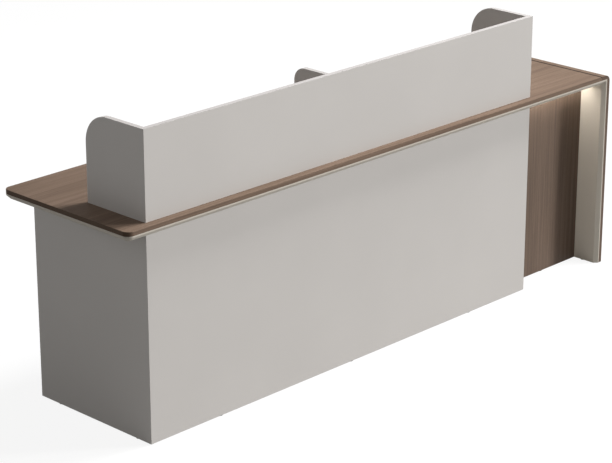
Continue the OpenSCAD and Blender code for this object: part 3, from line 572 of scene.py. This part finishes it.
def opal_finish():
    """The frosted cover of the light strip, lit by diodes that end short of the channel's ends."""
    f = Finish("opal_lit", roughness=0.5)
    low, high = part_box("led_diffuser")
    x = f.along(f.place(), "X")
    beat = 1 - DIODE_BEAT + DIODE_BEAT * (x * (2 * math.pi / DIODE_PITCH)).sine()
    reach = (high.x - low.x) / 2 - STRIP_DARK_END
    lit = ((reach - (x - (low.x + high.x) / 2).size()) * (1 / STRIP_FADE) + 1.0).clamped()
    rise = ((x - STRIP_DIM_TO) * (1 / (STRIP_FULL_FROM - STRIP_DIM_TO))).clamped()
    level = beat * lit * (STRIP_DIM + (1 - STRIP_DIM) * rise)
    clouds = f.noise(f.place(), OPAL_CLOUDS)
    f.feed("Base Color", f.mottled(clouds, OPAL, dark=0.97, light=1.0))
    f.feed("Emission Color", f.blend(level, grey(STRIP_UNLIT), linear(STRIP_COLOUR)))
    f.shader.inputs["Emission Strength"].default_value = STRIP_LEVEL
    return f.material


def dress(material, *names):
    """Gives CAD nodes a material."""
    for name in names:
        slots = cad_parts[name].data.materials
        slots.clear()
        slots.append(material)


def dress_boards():
    dress(
        board_finish("pale_board", PALE, *PALE_SKIN),
        "front_panel", "left_end_panel", "recess_return",
        "pedestal_left_side", "pedestal_right_side", "pedestal_top", "pedestal_bottom",
        "cabinet_left_side", "cabinet_right_side", "cabinet_bottom", "cabinet_shelf",
        "drawer_1_front", "drawer_2_front", "drawer_3_front", "cabinet_door")
    dress(
        screen_finish(),
        "screen_front", "screen_left_return", "screen_divider", "screen_right_return")
    # The underlayer takes the lining's tone deepened as painted shade
    dress(board_finish("underlayer", LINING_SHADED, *LINING_SKIN), "worktop_underlayer")
    dress(leg_lining_finish(), "waterfall_lining")
    dress(
        board_finish("kick_board", KICK, *KICK_SKIN),
        "pedestal_kick_board", "cabinet_kick_board")
    dress(worktop_finish(), "worktop_board")
    dress(upright_finish(), "recess_panel")
    dress(waterfall_finish(), "waterfall_panel")


def dress_fittings():
    dress(
        steel_finish("pressed_steel", STEEL, roughness=0.42, spangle=900.0),
        "drawer_1_tray", "drawer_2_tray", "drawer_3_tray", "cable_trays")
    dress(
        steel_finish("zinc_steel", ZINC, roughness=0.32, spangle=1600.0),
        "runner_outer_members",
        "drawer_1_inner_runners", "drawer_2_inner_runners", "drawer_3_inner_runners",
        "drawer_1_middle_runners", "drawer_2_middle_runners", "drawer_3_middle_runners",
        "angle_brackets", "bracket_screws", "cam_locks", "cam_bolts", "shelf_pins",
        "hinge_frame_leaves", "hinge_door_leaves")
    dress(
        brushed_finish("handle_metal", NICKEL, roughness=0.30, stretch=HANDLE_LINES),
        "drawer_1_handle", "drawer_2_handle", "drawer_3_handle")
    dress(
        brushed_finish("handle_metal_upright", NICKEL, roughness=0.30, stretch=UPRIGHT_LINES),
        "cabinet_door_handle")
    dress(
        brushed_finish("lock_metal", NICKEL, roughness=0.22, stretch=LOCK_LINES),
        "lock_housing", "lock_plug", "lock_tongue")
    dress(
        moulded_finish("black_plastic", PLASTIC, roughness=0.48),
        "grommet_sleeves", "grommet_cap_left", "grommet_cap_right", "levelling_feet", "led_lead")
    dress(
        brushed_finish("light_channel", ALUMINIUM, roughness=0.36, stretch=CHANNEL_LINES),
        "led_channel")
    dress(opal_finish(), "led_diffuser", "led_strip")
    dress(moulded_finish("driver_plastic", DRIVER, roughness=0.42), "led_driver")


# Small fittings: screws and buffers

def screw_shape(radius, height, rounding):
    """A screw head that faces +Z with a cross recess, its underside on the origin."""
    work = bmesh.new()
    bmesh.ops.create_grid(
        work, x_segments=HEAD_GRID, y_segments=HEAD_GRID, size=HEAD_GRID_HALF * radius)
    for vert in work.verts:
        if vert.is_boundary:
            vert.co = radius * vert.co.normalized()
    raised = bmesh.ops.extrude_face_region(work, geom=work.faces[:], use_keep_orig=True)["geom"]
    top = [part for part in raised if isinstance(part, bmesh.types.BMVert)]
    bmesh.ops.translate(work, verts=top, vec=(0, 0, height))
    cross = [
        face for face in work.faces
        if in_recess(face, RECESS_REACH * radius, TOP_FROM * height)]
    sunk = bmesh.ops.extrude_face_region(work, geom=cross)["geom"]
    bmesh.ops.delete(work, geom=cross, context="FACES")
    floor = [part for part in sunk if isinstance(part, bmesh.types.BMVert)]
    bmesh.ops.translate(work, verts=floor, vec=(0, 0, -RECESS_DEEP * height))
    rim = [
        edge for edge in work.edges
        if all(v.co.z > TOP_FROM * height and v.co.to_2d().length > RIM_FROM * radius
               for v in edge.verts)]
    round_off(work, rim, rounding)
    return finished(work)


def in_recess(face, reach, level):
    """Whether a face of a screw's top is one of the cross that the driver sinks into."""
    inside = all(
        v.co.z > level and abs(v.co.x) < reach and abs(v.co.y) < reach for v in face.verts)
    centre = face.calc_center_median()
    return inside and min(abs(centre.x), abs(centre.y)) < ARM_HALF * reach


def pad_shape(radius, height):
    """A soft round buffer that faces +Z, its underside on the origin."""
    work = bmesh.new()
    bmesh.ops.create_cone(
        work, cap_ends=True, segments=BUFFER_SIDES, radius1=radius,
        radius2=BUFFER_TAPER * radius, depth=height)
    bmesh.ops.translate(work, verts=work.verts[:], vec=(0, 0, height / 2))
    top = [
        edge for edge in work.edges if all(v.co.z > TOP_FROM * height for v in edge.verts)]
    round_off(work, top, BUFFER_ROUND * height)
    return finished(work)


def round_off(work, edges, size):
    bmesh.ops.bevel(
        work, geom=edges, offset=size, segments=BEVEL_STEPS, profile=0.5, affect="EDGES",
        material=-1)


def finished(work):
    """Merges a shape's doubles, turns its faces outwards and gives its mesh."""
    bmesh.ops.remove_doubles(work, verts=work.verts[:], dist=SAME_POINT)
    bmesh.ops.recalc_face_normals(work, faces=work.faces[:])
    return as_mesh(work, "shape")


def as_mesh(work, name):
    """Ends a shape's work as a mesh."""
    mesh = bpy.data.meshes.new(name)
    work.to_mesh(mesh)
    work.free()
    return mesh


def put(name, data):
    """Puts a mesh, a lamp or the camera in the scene."""
    holder = bpy.data.objects.new(name, data)
    bpy.context.scene.collection.objects.link(holder)
    return holder


def place_copies(name, shape, spots, facing, material, body):
    """Sets copies of a shape on a body as one piece, each at a spot and all facing one way."""
    turn = Vector(facing).to_track_quat("Z", "Y").to_matrix().to_4x4()
    work = bmesh.new()
    for spot in spots:
        count = len(work.verts)
        work.from_mesh(shape)
        work.verts.ensure_lookup_table()
        bmesh.ops.transform(
            work, matrix=Matrix.Translation(spot) @ turn, verts=work.verts[count:])
    mesh = as_mesh(work, name)
    mesh.materials.append(material)
    piece = put(name, mesh)
    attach(piece, body)


def fit_drawer(number, head, pad, steel, rubber):
    """Screws in a drawer's tray that hold its front and handle, and buffers behind the front."""
    body = f"drawer_{number}"
    front, front_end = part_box(body + "_front")
    tray, tray_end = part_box(body + "_tray")
    handle, handle_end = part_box(body + "_handle")
    posts = [handle.x + ROSE, handle_end.x - ROSE]
    wall = tray_end.y - SHEET
    corners = [(x, wall, z) for x in (tray.x + TRAY_SCREW_IN, tray_end.x - TRAY_SCREW_IN)
               for z in (tray.z + TRAY_SCREW_UP, tray_end.z - TRAY_SCREW_UP)]
    behind = [(x, wall, (handle.z + handle_end.z) / 2) for x in posts]
    place_copies(
        body + "_screws", head, corners + behind, (0, -1, 0), steel, body)
    edges = [middle("pedestal_left_side").x, middle("pedestal_right_side").x]
    spots = [(x, front.y, z) for x in edges for z in (front.z + PAD_IN, front_end.z - PAD_IN)]
    place_copies(
        body + "_buffers", pad, spots, (0, -1, 0), rubber, body)


def fit_door(head, flush, pad, steel, rubber):
    """The cabinet door's handle screws, hinge screws and buffers."""
    door, door_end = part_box("cabinet_door")
    handle, handle_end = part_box("cabinet_door_handle")
    posts = [(middle("cabinet_door_handle").x, door.y, z)
             for z in (handle.z + ROSE, handle_end.z - ROSE)]
    place_copies("door_handle_screws", head, posts, (0, -1, 0), steel, "door")
    edge = middle("cabinet_right_side").x
    spots = [(edge, door.y, z) for z in (door.z + PAD_IN, door_end.z - PAD_IN)]
    place_copies("door_buffers", pad, spots, (0, -1, 0), rubber, "door")
    leaf, leaf_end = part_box("hinge_frame_leaves")
    x = leaf_end.x - HINGE_SCREW_IN
    heights = [z + side * HINGE_SCREW_OUT
               for z in (leaf.z + HINGE_HALF, leaf_end.z - HINGE_HALF) for side in (-1, 1)]
    frame_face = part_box("cabinet_left_side")[1].y + LEAF - FLUSH_SUNK
    door_face = door.y - LEAF + FLUSH_SUNK
    place_copies(
        "hinge_frame_screws", flush, [(x, frame_face, z) for z in heights], (0, 1, 0),
        steel, "desk")
    place_copies(
        "hinge_door_screws", flush, [(x, door_face, z) for z in heights], (0, -1, 0),
        steel, "door")


def fit_driver(head, steel):
    """The two screws through the ears of the light's driver."""
    low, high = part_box("led_driver")
    spots = [(x, (low.y + high.y) / 2, high.z - EAR)
             for x in (low.x + EAR_HOLE_IN, high.x - EAR_HOLE_IN)]
    place_copies("driver_screws", head, spots, (0, 0, -1), steel, "desk")


def middle(node):
    low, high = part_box(node)
    return (low + high) / 2


def add_fittings():
    head = screw_shape(*ROUND_HEAD)
    flush = screw_shape(*FLUSH_HEAD)
    pad = pad_shape(*BUFFER_SIZE)
    steel = steel_finish("screw_zinc", ZINC, roughness=0.26, spangle=2600.0)
    rubber = moulded_finish("buffer_rubber", BUFFER, roughness=0.40)
    for number in (1, 2, 3):
        fit_drawer(number, head, pad, steel, rubber)
    fit_door(head, flush, pad, steel, rubber)
    fit_driver(head, steel)


# Studio

def white_for_camera(network, plain, shown):
    """Mixes what lights the desk with what the camera and reflections see."""
    camera, glossy, clear = [
        network.add("ShaderNodeLightPath", {}, {}, ray)
        for ray in ("Is Camera Ray", "Is Glossy Ray", "Is Transmission Ray")]
    share = camera.larger(glossy).larger(clear)
    return network.add("ShaderNodeMixShader", {}, {0: share, 1: plain, 2: shown})


def make_floor():
    """A pale floor that the camera sees as white, with a faint shadow of the desk."""
    work = bmesh.new()
    bmesh.ops.create_grid(work, x_segments=1, y_segments=1, size=FLOOR_HALF)
    mesh = as_mesh(work, "studio_floor")
    material = bpy.data.materials.new("studio_floor")
    network = Network(material)
    plain = network.add("ShaderNodeBsdfDiffuse", {}, {"Color": grey(FLOOR_GREY)})
    pale = network.add("ShaderNodeBsdfDiffuse", {}, {"Color": grey(FLOOR_PALE)})
    glow = network.add("ShaderNodeEmission", {}, {"Color": grey(1.0), "Strength": FLOOR_GLOW})
    faint = network.add("ShaderNodeMixShader", {}, {0: FLOOR_PALE_SHARE, 1: glow, 2: pale})
    network.add(
        "ShaderNodeOutputMaterial", {}, {"Surface": white_for_camera(network, plain, faint)})
    mesh.materials.append(material)
    put("studio_floor", mesh)


def make_sky():
    """A sky that lights the desk softly, and that the camera sees as white."""
    world = bpy.data.worlds.new("studio")
    bpy.context.scene.world = world
    network = Network(world)
    plain = network.add("ShaderNodeBackground", {}, {"Color": SKY_COLOUR, "Strength": SKY_LEVEL})
    white = network.add("ShaderNodeBackground", {}, {"Color": grey(1.0), "Strength": 1.0})
    network.add("ShaderNodeOutputWorld", {}, {"Surface": white_for_camera(network, plain, white)})


def turned(name, data, turn, down):
    """Puts a lamp or the camera in the scene, turned about the upright and tipped down."""
    holder = put(name, data)
    holder.rotation_euler = (math.radians(90 - down), 0.0, math.radians(turn))
    return holder


def make_lamp(name, turn, height, level, width):
    """A distant soft lamp. At level 1 a white surface that faces it renders as white."""
    lamp = bpy.data.lights.new(name, "SUN")
    lamp.energy = level * math.pi
    lamp.angle = math.radians(width)
    turned(name, lamp, turn, height)


def make_near_lamp(name, turn, height, level, width):
    """A round lamp near the desk, whose light falls off away from the end that it hangs over.

    Its level is that of a distant lamp at the point that it is aimed at.
    """
    lamp = bpy.data.lights.new(name, "AREA")
    lamp.shape = "DISK"
    lamp.size = 2 * HIGH_LAMP_AWAY * math.tan(math.radians(width / 2))
    lamp.energy = level * (math.pi * HIGH_LAMP_AWAY) ** 2
    holder = turned(name, lamp, turn, height)
    away = holder.rotation_euler.to_matrix() @ Vector((0.0, 0.0, HIGH_LAMP_AWAY))
    holder.location = Vector(HIGH_LAMP_AIM) + away


def make_camera():
    camera = bpy.data.cameras.new("camera")
    camera.lens = CAMERA_LENS
    camera.sensor_width = CAMERA_SENSOR
    holder = turned("camera", camera, -CAMERA_TURN, CAMERA_DOWN)
    holder.location = CAMERA_AT
    bpy.context.scene.camera = holder


make_camera()
dress_boards()
dress_fittings()
add_fittings()
make_floor()
make_sky()
make_lamp("low_lamp", *LOW_LAMP)
make_near_lamp("high_lamp", *HIGH_LAMP)
make_lamp("back_lamp", *BACK_LAMP)
bpy.context.scene.view_settings.view_transform = "Standard"
